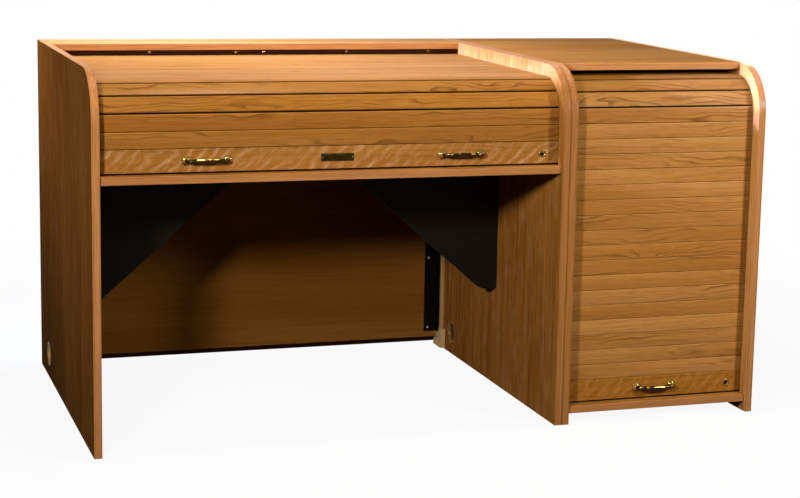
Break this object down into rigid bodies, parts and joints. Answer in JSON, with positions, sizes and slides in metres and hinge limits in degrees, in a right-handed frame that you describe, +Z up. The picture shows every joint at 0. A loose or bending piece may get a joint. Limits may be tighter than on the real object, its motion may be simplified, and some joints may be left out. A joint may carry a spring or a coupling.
{
  "type": "roll-top desk",
  "caption": "Wooden roll-top desk: a tambour curtain closes over a desktop with an open kneehole, and a side cabinet bolted to it has its own lift-up tambour front.",
  "frame": {"origin": "on the floor under the middle of the whole piece of furniture", "axes": "+X to the right along the width, +Y towards the back, +Z up; the curtains face -Y"},
  "size_m": [1.94, 1.092, 1.025],
  "materials": {
    "panel_veneer": "satin lacquered veneer, grain upright",
    "board_veneer": "satin lacquered veneer, grain lengthways",
    "back_veneer": "satin lacquered veneer, grain lengthways",
    "slat_wood": "satin lacquered solid wood",
    "rail_wood": "satin lacquered figured wood",
    "cleat_wood": "pale lacquered wood",
    "black_laminate": "matt black laminate",
    "black_steel": "satin black paint",
    "steel": "plated steel",
    "polished_brass": "polished brass",
    "dark_plate": "dark patinated brass",
    "canvas": "dark brown woven canvas",
    "seal_rubber": "matt black rubber",
    "tan_plastic": "moulded tan plastic"
  },
  "bodies": {
    "case": {"desk_left_panel": "panel_veneer", "desk_right_panel": "panel_veneer", "left_cable_grommet": "tan_plastic", "right_cable_grommet": "tan_plastic", "cabinet_left_panel": "panel_veneer", "cabinet_right_panel": "panel_veneer", "desktop": "board_veneer", "desk_rear_board": "board_veneer", "desk_back_panel": "back_veneer", "cabinet_top": "board_veneer", "cabinet_floor": "board_veneer", "cabinet_back": "back_veneer", "rear_valance": "black_laminate", "valance_screws": "steel", "left_rear_cleat": "cleat_wood", "right_rear_cleat": "cleat_wood", "left_corner_angle": "black_steel", "right_corner_angle": "black_steel", "modesty_panel": "back_veneer", "corner_angle_screws": "steel", "left_foot_block": "cleat_wood", "right_foot_block": "cleat_wood", "foot_block_screws": "steel", "left_gusset": "black_laminate", "right_gusset": "black_laminate", "cabinet_front_slats": "slat_wood", "cabinet_front_canvas": "canvas", "cabinet_upper_slats": "slat_wood", "cabinet_upper_canvas": "canvas", "lower_shelf": "board_veneer", "upper_shelf": "board_veneer", "shelf_pins": "steel", "unit_bolts": "steel"},
    "roll_top": {"desk_slats": "slat_wood", "desk_canvas": "canvas", "desk_left_pull": "polished_brass", "desk_right_pull": "polished_brass", "desk_pull_screws": "steel", "name_plate": "dark_plate", "name_plate_pins": "polished_brass", "desk_lock_barrel": "polished_brass", "desk_lift_rail": "rail_wood", "desk_rail_seal": "seal_rubber"},
    "desk_lock": {"desk_lock_plug": "polished_brass", "desk_lock_cam": "steel"},
    "cabinet_lift": {"cabinet_pull": "polished_brass", "cabinet_pull_screws": "steel", "cabinet_lock_barrel": "polished_brass", "cabinet_lift_rail": "rail_wood", "cabinet_rail_seal": "seal_rubber"},
    "cabinet_lock": {"cabinet_lock_plug": "polished_brass", "cabinet_lock_cam": "steel"}
  },
  "joints": [
    {"name": "roll_top_turn", "type": "hinge", "parent": "case", "child": "roll_top", "pos_m": [-0.304, 0, 0.479], "axis": [-1, 0, 0], "range_deg": [0, 90], "deforming": ["desk_slats", "desk_canvas"]},
    {"name": "cabinet_lift_slide", "type": "slide", "parent": "case", "child": "cabinet_lift", "axis": [0, 0, 1], "range_m": [0, 0.735], "deforming": ["cabinet_front_slats", "cabinet_front_canvas"]},
    {"name": "desk_lock_turn", "type": "hinge", "parent": "roll_top", "child": "desk_lock", "pos_m": [0.291, -0.51, 0.781], "axis": [0, -1, 0], "range_deg": [0, 90]},
    {"name": "cabinet_lock_turn", "type": "hinge", "parent": "cabinet_lift", "child": "cabinet_lock", "pos_m": [0.899, -0.51, 0.084], "axis": [0, -1, 0], "range_deg": [0, 90]}
  ]
}
